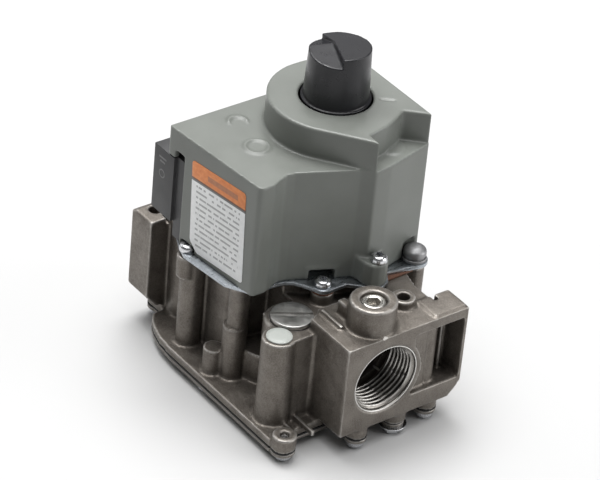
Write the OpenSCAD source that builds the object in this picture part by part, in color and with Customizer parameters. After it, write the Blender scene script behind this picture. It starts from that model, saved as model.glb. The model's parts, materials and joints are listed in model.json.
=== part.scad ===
// Dual-valve gas control: cast body, bottom diaphragm cover, electric operator under a moulded cover.
// Origin is the centre of the outlet port's mouth; X runs out of that port, Z is up.

/* [Ports] */
// Face to face length between the two port mouths (mm)
face_len = 109.5; // [100:0.5:120]
// Radius of the internal pipe thread at its root (mm)
port_r = 13.3; // [10:0.1:15]
// Depth of the threaded length (mm)
port_len = 15; // [12:0.5:18]
// Radius of the through passage (mm)
pass_r = 10.6; // [9:0.1:11]
// Half height of the end blocks (mm)
block_h = 18.7; // [18.2:0.1:18.7]

/* [Body] */
// Underside of the cast flange (mm)
flange_z = -23.2; // [-24:0.1:-22]
// Thickness of the cast flange (mm)
flange_t = 3.0; // [2.5:0.1:4]
// Half width of the flange across the body (mm)
flange_y = 39.4; // [38:0.1:41]
// Top of the operator seat on the body (mm)
seat_z = 18.8; // [18.8:0.1:19.4]
// Radius of the main diaphragm chamber (mm)
chamber_r = 24.6; // [23:0.2:26]

/* [Operator] */
// Thickness of the zinc plated operator plate (mm)
plate_t = 1.4; // [1:0.1:2]
// Low top of the moulded cover (mm)
cover_low = 66.5; // [60:0.5:70]
// High top of the moulded cover (mm)
cover_high = 78.5; // [74:0.5:82]
// Wall thickness of the cover (mm)
cover_wall = 2.2; // [1.6:0.1:3]
// Radius of the knob drum on the cover (mm)
drum_r = 24.5; // [22:0.5:26]
// Radius of the knob at its top (mm)
knob_r = 11; // [9:0.1:12]
// Top of the knob (mm)
knob_top = 97.5; // [90:0.5:100]

/* [Fit] */
// Running clearance on guided parts, radial (mm)
run_fit = 0.08; // [0.01:0.01:0.1]
// Press between fixed parts of one body (mm)
press_fit = 0.02; // [0.01:0.01:0.05]

/* [Hidden] */
$fn = 64;
e = 0.01;
plate_z = seat_z + 0.8;
cover_z = plate_z + plate_t;
flange_top = flange_z + flange_t;
cap_t = 1.6;
dia_t = 0.6;
vent_z = 14.4;
screen_x = -face_len + port_len + 0.3;
cap_r = 7.7;
deck_z = 14.3;
pan_z = flange_z - dia_t - cap_t;
// radii shared by mating pieces
tapped_r = 1.7;
clear_r = 1.9;
plunger_r = 5.1;
servo_r = 3.5;
shaft_r = 3.2;
knob_hole_r = 13.3;
ear_r = 4.1;
// axes of the moving stacks
KX = -62.5;
KY = 16;
MX = -68;
MY = -11.5;
SX = -46.2;
SY = 12;
VX = -42;
VY = 0;
DX = -54.75;
RX = -31.2;
RY = -19.8;
PX = -24.2;
PY = -30.3;
TX = -9.3;
TY = -1.9;
FX = -26.2;
FY = 13;
foot_top = 30.4;
arch_top = 25;
terminal_z = 27.5;
IX = -100.2;
IY = 5;
// fixings
BOT = [[-10.8, -34.6], [-57, -35], [-3.9, -8.1], [-5.1, 23.9],
  [-52.5, 35], [-98.7, 34.6], [-105.6, 8.1], [-104.4, -23.9]];
PLS = [[-34.6, -4.4], [-76.2, -33.6], [-83.4, 29.8]];
ST = [-31.3, 33.9];

function arc(cx, cy, r, a0, a1, n) =
  [for (i = [0:n]) [cx + r * cos(a0 + (a1 - a0) * i / n), cy + r * sin(a0 + (a1 - a0) * i / n)]];

// outline of the tall middle of the casting
CORE = [[-99, -16], [-92, -26.6], [-61, -26.6], [-57.5, -24.6], [-55, -24.6], [-53.6, -13.6], [-36, -13.6],
  [-30, -17], [-20, -17], [-14, 14], [-20, 26], [-36, 30.5], [-80, 30.5], [-96, 18]];
// outline of the flange
FL = concat(
  [[-13.3, -39.4], [-13.3, -12], [-13.3, 32.2]],
  [[-16.5, 34.8], [-21, 36.9], [-27, 38.6], [-35, 39.4]],
  [[-96.2, 39.4], [-96.2, 12], [-96.2, -32.2]],
  [[-93, -34.8], [-88.5, -36.9], [-82.5, -38.6], [-74.5, -39.4]]);

// cover outline at its walls, then the same line one wall inside
CV = concat([[-89.5, -35.4]], arc(-42.6, -29.2, 2, -84, 0, 3),
  [[-40.9, -24.8], [-42.6, -21], [-43.6, -17.8], [-43, -14.4], [-33.4, 6.8]],
  [[-29.6, 10.6], [-30.6, 18], [-35.4, 38.2], [-89.5, 38.2]]);
CI = [[-87.3, -33.0], [-43.4, -28.9], [-43.4, -24.8], [-44.8, -21.8], [-45.9, -18], [-45.4, -14.2],
  [-35.3, 7.9], [-31.9, 11.4], [-32.8, 17.6], [-37.7, 36], [-87.3, 36]];
// raised roof beside the knob drum, outside and one wall inside
HI = concat([[-62.5, 16], [-47.15, -3.1], [-29.6, 10.6], [-35.9, 10.9]],
  [[-36.2, 13.6], [-37.5, 19.7], [-39.6, 24.8], [-42.6, 29.2], [-42, 31], [-35.4, 38.2], [-68, 38.2]]);
HJ = [[-62.5, 16], [-48.5, -1.2], [-38.5, 6.6], [-38.2, 13.4], [-39.7, 19],
  [-41.8, 24], [-44.9, 28.4], [-44.2, 31.8], [-40.5, 36], [-68, 36]];
// outlines of the operator plate and of the seat under it
PLT = concat([[-88, -30.6], [-87.2, -31.4], [-79, -35.4], [-74.1, -36.9], [-52.4, -34.5], [-49.4, -32.7]],
  [[-46, -30.4], [-42.9, -29], [-43.2, -20.5], [-42.5, -15.6], [-40.9, -12.8], [-37.8, -10.6], [-34.3, -8.8]],
  arc(PLS[0][0], PLS[0][1], 4.3, -50, 20, 4),
  [[-30.6, 3], [-26.6, 7.4], [-23.8, 9.2], [-22.6, 12.8], [-24.4, 17]],
  [[-29, 19.9], [-26.9, 31.4]], arc(ST[0], ST[1], 5, -20, 100, 6), [[-36, 37.4], [-88, 37.4]]);
SEAT = [[-90, -30.4], [-58, -30.4], [-48, -28], [-47.6, -16.6], [-41, -8],
  [-35.4, 1], [-31.5, 16], [-36, 33], [-90, 33]];
// trench in the casting between the plate's front edge and the outlet block
TRENCH = [[-47.5, -30], [-47.5, -16.5], [-41, -7.9], [-35.3, 1.1], [-33, 9],
  [-28, 12], [-26, 5], [-26, -15.6], [-29, -30]];
// foot of the cover, seen from above
FOOT = [[-34.5, 8], [-32.2, 7.4], [-28, 7.8], [-24.6, 9],
  [-23.2, 11.6], [-23.2, 14], [-25, 16.6], [-31.5, 18]];

module cyl(x, y, z, r, h) {
  translate([x, y, z])
    cylinder(r = r, h = h);
}

module xcyl(x, y, z, r, h) {
  translate([x, y, z])
    rotate([0, 90, 0])
      cylinder(r = r, h = h);
}

module box(x0, x1, y0, y1, z0, z1) {
  translate([x0, y0, z0])
    cube([x1 - x0, y1 - y0, z1 - z0]);
}

module coil_spring(x, y, z, r, w, h, n) {
  // stack of rings standing in for the wire
  for (i = [0:n - 1])
    translate([x, y, z + w + i * (h - 2 * w) / (n - 1)])
      rotate_extrude()
        translate([r, 0])
          circle(r = w, $fn = 20);
  translate([x + r - w * 0.4, y - w * 0.4, z + w * 0.6])
    cube([w * 0.8, w * 0.8, h - w * 1.2]);
}

module pan_screw(x, y, z, hr, hh, sr, len) {
  // head seated at z, shank going down
  difference() {
    union() {
      cyl(x, y, z, hr, hh * 0.6);
      translate([x, y, z + hh * 0.6 - e])
        cylinder(r1 = hr, r2 = hr * 0.72, h = hh * 0.4);
      cyl(x, y, z - len, sr, len + e);
    }
    translate([x, y, z + hh * 0.4])
      for (k = [0, 60, 120])
        rotate([0, 0, k])
          translate([-hr * 0.42, -hr * 0.15, 0])
            cube([hr * 0.84, hr * 0.3, hh]);
  }
}

module flat_outline(z, t) {
  translate([0, 0, z])
    linear_extrude(height = t)
      polygon(FL);
  // lugs that carry the corner and end screws
  cyl(-10.8, -34.9, z, 4.5, t);
  cyl(-98.7, 34.9, z, 4.5, t);
  for (s = [[-3.9, -8.1], [-4.8, 9.2], [-5.1, 23.9]]) {
    cyl(s[0], s[1], z, 4.1, t);
    box(-14, s[0], s[1] - 3.6, s[1] + 3.6, z, z + t);
  }
  for (s = [[-105.6, 8.1], [-104.4, -23.9]]) {
    cyl(s[0], s[1], z, 4.1, t);
    box(s[0], -95, s[1] - 3.6, s[1] + 3.6, z, z + t);
  }
}

module end_block() {
  // outlet end: port block, side plate with its pocket, bosses
  difference() {
    union() {
      box(-26, 0, -18.4, 17.2, -19.2, block_h);
      translate([-12, 0, 0])
        rotate([90, 0, 90])
          linear_extrude(height = 12)
            polygon([[10, -19.2], [29.8, -19.2], [34.8, -13.4], [34.8, block_h], [10, block_h]]);
      box(-12, -1.2, 20.4, 34.4, block_h - e, block_h + 0.7);
    }
    // open pocket on the face
    box(-10, 1, 19, 33.4, -11.2, 14.6);
    // shallow step that leaves a round boss about the port
    difference() {
      box(-2.4, 1, 12, 30, -11.2, 14.6);
      xcyl(-4, 0, 0, port_r + 2.2, 6);
    }
    translate([-13, 26.2, block_h - 2.2])
      cube([4.2, 1.8, 4]);
  }
  // rib and barrel inside the pocket
  cyl(-6.2, 21.8, -12, 3.6, 27.5);
  box(-10.5, -7.9, 29.8, 31.2, -12, 15);
}

module valve_body() {
  color("dimgray")
    difference() {
      union() {
        flat_outline(flange_z, flange_t);
        // round housing over the diaphragm
        cyl(DX, 0, flange_z, 27.4, -8.2 - flange_z);
        end_block();
        translate([-face_len, 0, 0])
          rotate([0, 0, 180])
            end_block();
        // central housing
        translate([0, 0, flange_top - e])
          linear_extrude(height = block_h - flange_top + e)
            polygon(CORE);
        // operator seat under the plate
        translate([0, 0, block_h - 1])
          linear_extrude(height = seat_z - block_h + 1)
            polygon(SEAT);
        // pillars down the label side and the matching far side
        cyl(-76.2, -30.6, flange_top - e, 4.6, seat_z - flange_top);
        cyl(-51.6, -28.6, flange_top - e, 4.4, 22);
        cyl(-51.6, -27.8, flange_top - e, 3.9, seat_z - flange_top);
        cyl(-57, -33.2, flange_top - e, 3.8, 10.4);
        cyl(-34.1, 30.2, flange_top - e, 4.6, seat_z - flange_top);
        cyl(-57.9, 28.6, flange_top - e, 4.4, seat_z - flange_top);
        cyl(-52.5, 33.2, flange_top - e, 3.8, 10.4);
        cyl(-84.2, 29.4, flange_top - e, 6.4, seat_z - flange_top);
        // curved wing wall at the far left
        translate([-92, -14.5, flange_top - e])
          cylinder(r = 12.6, h = seat_z - flange_top - 0.2);
        // regulator turret with its deck
        cyl(RX, RY, flange_top - e, 9.8, deck_z - flange_top);
        box(-38.5, -19, -27, -13, flange_top - e, deck_z);
        // vent post
        translate([PX, PY, flange_top - e])
          cylinder(r1 = 6.5, r2 = 6.1, h = vent_z - flange_top);
        // corner bosses and screw bosses
        cyl(-10.8, -34.6, flange_z, 4.4, 5.4);
        cyl(-98.7, 34.6, flange_z, 4.4, 5.4);
        cyl(-3.9, -8.1, flange_z, 3.9, 6);
        cyl(-5.1, 23.9, flange_z, 3.9, 6);
        cyl(-105.6, 8.1, flange_z, 3.9, 6);
        cyl(-104.4, -23.9, flange_z, 3.9, 6);
        cyl(-4.8, 9.2, flange_z, 4.6, 6);
        // low ribs on the flange beside the end block
        box(-22, -7, -25.5, -24.2, flange_top - e, flange_top + 2.2);
        box(-20, -10, -30.5, -29.3, flange_top - e, flange_top + 1.4);
        // top of the outlet block behind the side plate
        box(-20, -11, 13, 26.2, -4, block_h);
        // pressure tap bosses
        cyl(TX, TY, block_h - e, 8.6, 11);
        cyl(-13.5, 15.3, block_h - e, 4.4, 3.4);
        cyl(IX, IY, block_h - e, 6.4, 1.2);
        box(-21.5, -16.2, -8, -4.8, block_h - e, 24);
        box(-24, -12, -13.2, -11.8, block_h - e, 20);
        // posts carrying the operator plate ears
        cyl(PLS[0][0], PLS[0][1], block_h - 6, 4.2, seat_z - block_h + 6);
        cyl(PLS[1][0], PLS[1][1], seat_z - 9, 3.7, 9);
        cyl(ST[0], ST[1], -4, ear_r, seat_z + 4);
        box(-38, -30, 26, 34, -4, block_h);
      }
      // ports and passages
      xcyl(-port_len, 0, 0, port_r, port_len + 1);
      xcyl(-face_len - 1, 0, 0, port_r, port_len + 1);
      xcyl(-30, 0, 0, pass_r, 20);
      xcyl(-face_len + 10, 0, 0, pass_r, 14);
      // mouth chamfers
      translate([-0.7, 0, 0])
        rotate([0, 90, 0])
          cylinder(r1 = port_r, r2 = port_r + 0.8, h = 0.71);
      translate([-face_len + 0.7, 0, 0])
        rotate([0, -90, 0])
          cylinder(r1 = port_r, r2 = port_r + 0.8, h = 0.71);
      // diaphragm chamber
      cyl(DX, 0, flange_z - 1, chamber_r, 1 + 13.2);
      // inlet chamber, open to the operator plate
      box(-88, -57, -22, 7, -7, 30);
      cyl(MX, MY, -12, 6.5, 8);
      // outlet chamber and its seat
      box(-55, -27, -11.2, 14, -7, 13);
      // trench, with the near screw's post left standing, and room over the regulator cap
      difference() {
        translate([0, 0, deck_z])
          linear_extrude(height = 12)
            polygon(TRENCH);
        cyl(PLS[0][0], PLS[0][1], 0, 4.2, seat_z);
      }
      cyl(RX, RY, deck_z, cap_r + 1, 12);
      cyl(VX, VY, -12, 9, 8);
      // servo pocket in the operator seat
      cyl(SX, SY, 14.6, 6.5, 10);
      cyl(SX, SY, 12, 1.2, 5);
      // knob shaft pocket
      cyl(KX, KY, 10, 4.2, 16);
      // regulator bores
      cyl(RX, RY, 8.6, cap_r, 8);
      cyl(RX, RY, -14, 6.4, 26);
      cyl(RX, RY, -18, 3.2, 8);
      // vent
      cyl(PX, PY, 4, 2.1, 16);
      translate([PX, PY, 5.2])
        rotate([0, 0, 118])
          rotate([0, 90, 0])
            cylinder(r = 0.9, h = 5);
      // pressure taps
      cyl(TX, TY, block_h - 2, 4.9, 14);
      cyl(TX, TY, 8, 1.6, 12);
      cyl(-13.5, 15.3, 12, 2.3, 12);
      cyl(IX, IY, block_h - 4.3, 4.9, 10);
      cyl(IX, IY, 8, 1.6, 8);
      // fixing hole in the far end plate and its twin
      cyl(-104.4, -28.3, 4, 2.4, 18);
      // tapped holes for the bottom screws
      for (p = BOT)
        cyl(p[0], p[1], flange_z - 1, tapped_r, 7);
      cyl(-4.8, 9.2, flange_z - 1, 2.1, 6.4);
      // tapped holes for the plate screws
      for (p = PLS)
        cyl(p[0], p[1], seat_z - 4.8, tapped_r, 6);
      cyl(ST[0], ST[1], seat_z - 7, 2, 8);
    }
}

module bottom_cover() {
  color("darkgray")
    difference() {
      union() {
        flat_outline(pan_z, cap_t);
        cyl(DX, 0, pan_z - 1.4, 26.6, 1.6);
      }
      cyl(DX, 0, pan_z + 0.1, chamber_r, 3);
      for (p = BOT)
        cyl(p[0], p[1], pan_z - 1, clear_r, 5);
      cyl(-4.8, 9.2, pan_z - 1, 2.3, 5);
    }
}

module main_diaphragm() {
  color("black")
    difference() {
      flat_outline(flange_z - dia_t, dia_t);
      for (p = BOT)
        cyl(p[0], p[1], flange_z - 2, clear_r, 5);
      cyl(-4.8, 9.2, flange_z - 2, 2.3, 5);
      cyl(VX, VY, flange_z - 2, 2.1, 5);
    }
}

module bottom_screws() {
  color("silver")
    for (p = BOT)
      translate([p[0], p[1], pan_z])
        rotate([180, 0, 0])
          pan_screw(0, 0, 0, 3.4, 2.9, tapped_r, 6.6);
}

module ground_screw() {
  color("silver") {
    difference() {
      union() {
        cyl(-4.8, 9.2, pan_z - 0.8, 5.3, 0.8);
        translate([-4.8, 9.2, pan_z - 2.7])
          cylinder(r = 4.3, h = 2.0, $fn = 6);
      }
      box(-8, -1.6, 8.6, 9.8, pan_z - 4, pan_z - 2.2);
    }
    cyl(-4.8, 9.2, pan_z - e, 2.1, 6.8);
  }
}

module diaphragm_plate() {
  color("silver")
    difference() {
      union() {
        cyl(DX, 0, flange_z, 21, 0.9);
        cyl(VX, VY, flange_z, 4.4, 2);
      }
      cyl(VX, VY, flange_z - 1, 2.1, 5);
    }
}

module main_stem() {
  color("silver") {
    cyl(VX, VY, flange_z - dia_t - 0.1, 2.1, 19.2);
    cyl(VX, VY, flange_z - dia_t - 0.7, 4.2, 0.7);
  }
}

module main_disc() {
  color("dimgray")
    difference() {
      union() {
        cyl(VX, VY, -6.95, 10.6, 1.6);
        cyl(VX, VY, -5.5, 9, 1);
        cyl(VX, VY, -4.6, 3.6, 2.4);
      }
      cyl(VX, VY, -8, 2.1, 3.32);
    }
}

module main_spring() {
  color("silver")
    coil_spring(VX, VY, -4.5, 5.4, 0.45, 17.5, 7);
}

module inlet_screen() {
  color("gainsboro")
    difference() {
      xcyl(screen_x, 0, 0, pass_r - 0.1, 8);
      xcyl(screen_x - 1, 0, 0, pass_r - 0.7, 8.4);
      for (a = [0:30:150])
        rotate([a, 0, 0])
          for (x = [2, 4.8])
            translate([screen_x + x, 0, 0])
              cube([1.6, 1.6, 30], center = true);
    }
}

module operator_plate() {
  color("lightsteelblue")
    difference() {
      translate([0, 0, plate_z])
        linear_extrude(height = plate_t)
          polygon(PLT);
      for (p = PLS)
        cyl(p[0], p[1], plate_z - 1, clear_r, 4);
      cyl(ST[0], ST[1], plate_z - 1, 2, 4);
      cyl(FX, FY, plate_z - 1, 1.5, 4);
      cyl(MX, MY, plate_z - 1, 6.1, 4);
      cyl(SX, SY, plate_z - 1, 4.6, 4);
      cyl(KX, KY, plate_z - 1, 6, 4);
    }
}

module plate_gasket() {
  color("sienna")
    difference() {
      union() {
        translate([0, 0, seat_z])
          linear_extrude(height = 0.8)
            polygon(SEAT);
        // pads under the near screw and the ear
        cyl(PLS[0][0], PLS[0][1], seat_z, 4.2, 0.8);
        cyl(ST[0], ST[1], seat_z, ear_r, 0.8);
        translate([0, 0, seat_z])
          linear_extrude(height = 0.8)
            polygon([[-34, 12], [-27, 17.4], [-27, 21], [-27.4, 30.6], [-36, 34]]);
      }
      box(-88, -57, -22, 7, seat_z - 1, seat_z + 2);
      cyl(SX, SY, seat_z - 1, 6.5, 3);
      cyl(KX, KY, seat_z - 1, 6.2, 3);
      for (p = PLS)
        cyl(p[0], p[1], seat_z - 1, clear_r, 4);
      cyl(ST[0], ST[1], seat_z - 1, 2, 4);
    }
}

module plate_screws() {
  color("silver")
    for (p = PLS)
      pan_screw(p[0], p[1], cover_z, 3.2, 2.6, tapped_r, 6.8);
}

module drum(z, r, h, back) {
  difference() {
    cyl(KX, KY, z, r, h);
    box(KX - 40, KX + 40, back, back + 20, z - 1, z + h + 1);
  }
}

module cover_shell() {
  difference() {
    union() {
      translate([0, 0, cover_z])
        linear_extrude(height = cover_low - cover_z)
          polygon(CV);
      drum(cover_low - e, drum_r, cover_high - cover_low, 38.2);
      translate([0, 0, cover_low - e])
        linear_extrude(height = cover_high - cover_low)
          polygon(HI);
      // foot that takes the cover screw
      translate([0, 0, cover_z])
        linear_extrude(height = foot_top - cover_z)
          polygon(FOOT);
      // ring and crescent raised on the low top
      cyl(-63.2, -16.6, cover_low - e, 4.7, 0.6);
      difference() {
        cyl(-80, -13, cover_low - e, 3.6, 0.6);
        cyl(-78.9, -13.4, cover_low - 1, 3.2, 3);
      }
      cyl(-39.6, 24.6, cover_low - e, 4.6, 0.5);
    }
    translate([0, 0, cover_z - 1])
      linear_extrude(height = cover_low - cover_wall - cover_z + 1)
        polygon(CI);
    drum(cover_low - cover_wall - 1, drum_r - cover_wall, cover_high - cover_low + 1, 36);
    translate([0, 0, cover_low - cover_wall - 1])
      linear_extrude(height = cover_high - cover_low + 1)
        polygon(HJ);
  }
}

module on_front_wall() {
  // local X runs along the slanted front wall, local Y into the cover
  translate([-38.1, -2.8, 0])
    rotate([0, 0, 66])
      children();
}

module operator_cover() {
  color("slategray")
    difference() {
      union() {
        cover_shell();
        // well around the near plate screw
        on_front_wall()
          box(-5.8, 5.8, -0.6, 5.4, cover_z, arch_top + 1.2);
      }
      on_front_wall()
        box(-4.6, 4.6, -4, 4.2, cover_z - 1, arch_top);
      // knob hole
      cyl(KX, KY, 60, knob_hole_r, 30);
      cyl(-63.2, -16.6, cover_low, 3.8, 1);
      // corner window for the terminal block
      box(-91, -85.7, -37, -8.6, cover_z - 1, 54.8);
      // wire slot beside it
      box(-85.8, -80.6, -37, -30, cover_z - 1, 58);
      // screw path in the foot, and clearance over the far plate screw and the stand-off
      cyl(FX, FY, cover_z - 1, 1.6, foot_top - cover_z + 2);
      cyl(PLS[1][0], PLS[1][1], cover_z - 1, 3.7, 3.9);
      cyl(ST[0], ST[1], cover_z - 1, 4.7, 7.6);
      // index marks by the knob
      for (turn = [50, 140])
        translate([KX, KY, cover_high - 0.6])
          rotate([0, 0, turn])
            translate([15.2, -0.7, 0])
              cube([6, 1.4, 1]);
    }
}

module cover_screw() {
  color("silver")
    pan_screw(FX, FY, foot_top, 3.1, 2.7, 1.5, foot_top - plate_z);
}

module plate_standoff() {
  color("gray") {
    cyl(ST[0], ST[1], cover_z, 4.5, 1.2);
    cyl(ST[0], ST[1], cover_z + 1.1, 3.9, 0.9);
    cyl(ST[0], ST[1], cover_z + 1.9, 4.3, 3.7);
    cyl(ST[0], ST[1], cover_z - 7.4, 2, 7.5);
  }
}

module knob_facet(side, fall, ridge, sweep) {
  // a wedge of the top cut down at a slant; it laps past the ridge by a few degrees
  lap = 4 * side;
  translate([KX - 4.7, KY + 0.3, knob_top - 0.5])
    rotate([0, 0, ridge])
      intersection() {
        rotate([fall * side, 0, 0])
          translate([-20, side > 0 ? -30 : -2, 0])
            cube([50, 32, 9]);
        translate([0, 0, -9])
          linear_extrude(height = 20)
            polygon([[0, 0], [26 * cos(lap), 26 * sin(lap)], [26 * cos(sweep / 2), 26 * sin(sweep / 2)],
              [26 * cos(sweep), 26 * sin(sweep)]]);
      }
}

module control_knob() {
  color("black")
    difference() {
      union() {
        translate([KX, KY, 77])
          cylinder(r1 = knob_r + 0.9, r2 = knob_r, h = knob_top + 2 - 77);
        cyl(KX, KY, 75.4, 12.6, 3);
      }
      // the whole top leans, highest at the front
      translate([KX, KY, knob_top + 0.85])
        rotate([0, 0, -18])
          rotate([0, -4.5, 0])
            translate([-20, -20, 0])
              cube([40, 40, 8]);
      // a pointer ridge, with the top falling away on both sides of it
      knob_facet(-1, 5, -108, 85);
      knob_facet(1, 15, -108, -71);
      // shaft socket
      cyl(KX, KY, 74, 3.4, 13);
    }
}

module knob_shaft() {
  color("silver") {
    cyl(KX, KY, 12, shaft_r, 60);
    difference() {
      cyl(KX, KY, 72 - e, 3.38, 14.6);
      box(KX - 4, KX + 4, KY + 2.4, KY + 5, 73, 90);
    }
  }
}

module knob_bushing() {
  color("silver")
    difference() {
      union() {
        cyl(KX, KY, seat_z, 5.9, 7);
        cyl(KX, KY, cover_z, 7.1, 1.6);
      }
      cyl(KX, KY, 0, shaft_r + run_fit, 40);
    }
}

module switch_cam() {
  color("white")
    difference() {
      // eccentric lobe, pointing away from the terminals at rest
      cyl(KX - 1.2, KY, 54, 7.5, 5);
      cyl(KX, KY, 50, shaft_r, 20);
    }
}

module knob_spring() {
  color("silver")
    coil_spring(KX, KY, 59, 5.2, 0.5, 16.4, 7);
}

module switch_case() {
  color("black")
    difference() {
      box(-68, -50, 26, 33.5, cover_z, 63.5);
      translate([KX, 24, 56.5])
        rotate([-90, 0, 0])
          cylinder(r = 1.6, h = 6);
    }
}

module switch_button() {
  color("ivory")
    translate([KX, KY + 7.75, 56.5])
      rotate([-90, 0, 0])
        cylinder(r = 1.5, h = 4.4);
}

module terminal_block() {
  color("black")
    difference() {
      union() {
        box(-98, -86, -35, -9, terminal_z, 54.4);
        box(-86.2, -84, -31, -10, cover_z, 52);
        box(-86.2, -80.9, -33.6, -30.9, cover_z, 54.6);
      }
      for (i = [0:2])
        box(-99, -91, -32 + i * 7.6, -26.6 + i * 7.6, 34, 48);
    }
}

module spade_terminals() {
  color("gainsboro")
    for (i = [0:2])
      box(-97.4, -91, -29.7 + i * 7.6, -28.9 + i * 7.6, 37.8, 44.2);
}

module frame(x, y, z, w, d, h, t, r) {
  difference() {
    box(x - w / 2, x + w / 2, y - d / 2, y + d / 2, z, z + h);
    box(x - w / 2 + t, x + w / 2 - t, y - d, y + d, z + t, z + h - t);
    cyl(x, y, z - 1, r, h + 2);
  }
}

module bobbin(x, y, z, ri, ro, h, t) {
  difference() {
    union() {
      cyl(x, y, z, ro, t);
      cyl(x, y, z + h - t, ro, t);
      cyl(x, y, z, ri + 1, h);
    }
    cyl(x, y, z - 1, ri, h + 2);
  }
}

module main_frame() {
  color("silver")
    frame(MX, MY, cover_z, 27, 20, 34, 1.6, 6.1);
}

module main_bobbin() {
  color("white")
    bobbin(MX, MY, cover_z + 1.6, 6.05, 11.6, 30.8, 1.2);
}

module main_coil() {
  color("peru")
    difference() {
      cyl(MX, MY, cover_z + 2.8, 11, 28.4);
      cyl(MX, MY, 0, 7.05, 90);
    }
}

module main_tube() {
  color("silver")
    difference() {
      union() {
        cyl(MX, MY, plate_z - 1.6, 6, 38.2);
        cyl(MX, MY, plate_z - 1.6, 9, 1.6);
      }
      cyl(MX, MY, plate_z - 3, plunger_r, 31.2);
    }
}

module main_plunger() {
  color("silver") {
    cyl(MX, MY, 0.4, plunger_r - run_fit, 42);
    cyl(MX, MY, 0.4, 7.4, 0.9);
    cyl(MX, MY, -6, 3, 6.5);
  }
}

module main_plunger_spring() {
  color("silver")
    coil_spring(MX, MY, 1.3, 6.4, 0.4, 16.6, 7);
}

module inlet_disc() {
  color("dimgray")
    difference() {
      union() {
        cyl(MX, MY, -6.95, 8.4, 2);
        cyl(MX, MY, -5.2, 7.6, 1.6);
      }
      cyl(MX, MY, -6, 3, 6);
    }
}

module servo_frame() {
  color("silver")
    frame(SX, SY, cover_z, 18, 14, 24, 1.4, 4.6);
}

module servo_bobbin() {
  color("white")
    bobbin(SX, SY, cover_z + 1.4, 4.55, 7.5, 21.2, 1);
}

module servo_coil() {
  color("peru")
    difference() {
      cyl(SX, SY, cover_z + 2.4, 7.1, 19.2);
      cyl(SX, SY, 0, 5.55, 90);
    }
}

module servo_tube() {
  color("silver")
    difference() {
      union() {
        cyl(SX, SY, plate_z - 1.6, 4.5, 28.2);
        cyl(SX, SY, plate_z - 1.6, 6.2, 1.6);
      }
      cyl(SX, SY, plate_z - 3, servo_r, 24.8);
    }
}

module servo_plunger() {
  color("silver")
    cyl(SX, SY, 17.2, servo_r - run_fit, 18);
}

module servo_spring() {
  color("silver")
    coil_spring(SX, SY, 35.3, 2.2, 0.3, 6, 5);
}

module servo_disc() {
  color("dimgray")
    cyl(SX, SY, 14.65, 2.8, 2.55);
}

module regulator_cap() {
  color("silver")
    difference() {
      union() {
        cyl(RX, RY, 14.4, cap_r, 1.4);
        cyl(RX, RY, 10.2, cap_r - press_fit, 4.3);
      }
      translate([RX, RY, 15])
        rotate([0, 0, 58])
          translate([-9, -1.25, 0])
            cube([18, 2.5, 3]);
    }
}

module cap_seal() {
  color("black")
    translate([RX, RY, 9.4])
      rotate_extrude()
        translate([cap_r - 0.8, 0])
          circle(r = 0.75, $fn = 24);
}

module regulator_adjuster() {
  color("ivory")
    difference() {
      cyl(RX, RY, 4.6, 6.3, 3.6);
      translate([RX - 7, RY - 0.7, 6.8])
        cube([14, 1.4, 3]);
    }
}

module spring_follower() {
  color("ivory")
    cyl(RX, RY, 2.6, 5.6, 1.4);
}

module regulator_spring() {
  color("silver")
    coil_spring(RX, RY, -9.6, 4.2, 0.4, 12.2, 7);
}

module regulator_diaphragm() {
  color("black")
    cyl(RX, RY, -13.6, 6.2, 0.7);
}

module regulator_poppet() {
  color("silver")
    cyl(RX, RY, -12.9, 5.2, 3.2);
}

module vent_plug() {
  color("white") {
    cyl(PX, PY, vent_z, 4.7, 1.1);
    cyl(PX, PY, 7, 2.1, vent_z - 7 + e);
  }
}

module tap_plug(x, y, z, len) {
  difference() {
    union() {
      cyl(x, y, z - len, 4.9, len - 0.6);
      cyl(x, y, z - 0.7, 4.3, 0.7);
    }
    translate([x, y, z - 3.8])
      cylinder(r = 2.75, h = 6, $fn = 6);
  }
}

module outlet_tap_plug() {
  color("silver")
    tap_plug(TX, TY, block_h + 10.2, 7);
}

module inlet_tap_plug() {
  color("silver")
    tap_plug(IX, IY, block_h + 1.0, 5.1);
}

module caution_label() {
  // printed film on the long side wall, stuck on a little askew
  color("darkorange")
    translate([-74.56, -34.11, 22.4])
      rotate([0, 0, 5.14])
        rotate([90, 0, 0])
          rotate([0, 0, 2.6])
            linear_extrude(height = 0.12)
              polygon([[3.8, 0], [27.6, 0], [28.6, 1], [28.6, 36], [27.6, 37], [1, 37], [0, 36], [0, 3.8]]);
}

valve_body();
bottom_cover();
main_diaphragm();
bottom_screws();
ground_screw();
diaphragm_plate();
main_stem();
main_disc();
main_spring();
inlet_screen();
operator_plate();
plate_gasket();
plate_screws();
operator_cover();
cover_screw();
plate_standoff();
control_knob();
knob_shaft();
knob_bushing();
switch_cam();
knob_spring();
switch_case();
switch_button();
terminal_block();
spade_terminals();
main_frame();
main_bobbin();
main_coil();
main_tube();
main_plunger();
main_plunger_spring();
inlet_disc();
servo_frame();
servo_bobbin();
servo_coil();
servo_tube();
servo_plunger();
servo_spring();
servo_disc();
regulator_cap();
cap_seal();
regulator_adjuster();
spring_follower();
regulator_spring();
regulator_diaphragm();
regulator_poppet();
vent_plug();
outlet_tap_plug();
inlet_tap_plug();
caution_label();
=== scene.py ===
import json
import math

import bmesh
import bpy
from mathutils import Matrix, Vector


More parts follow.
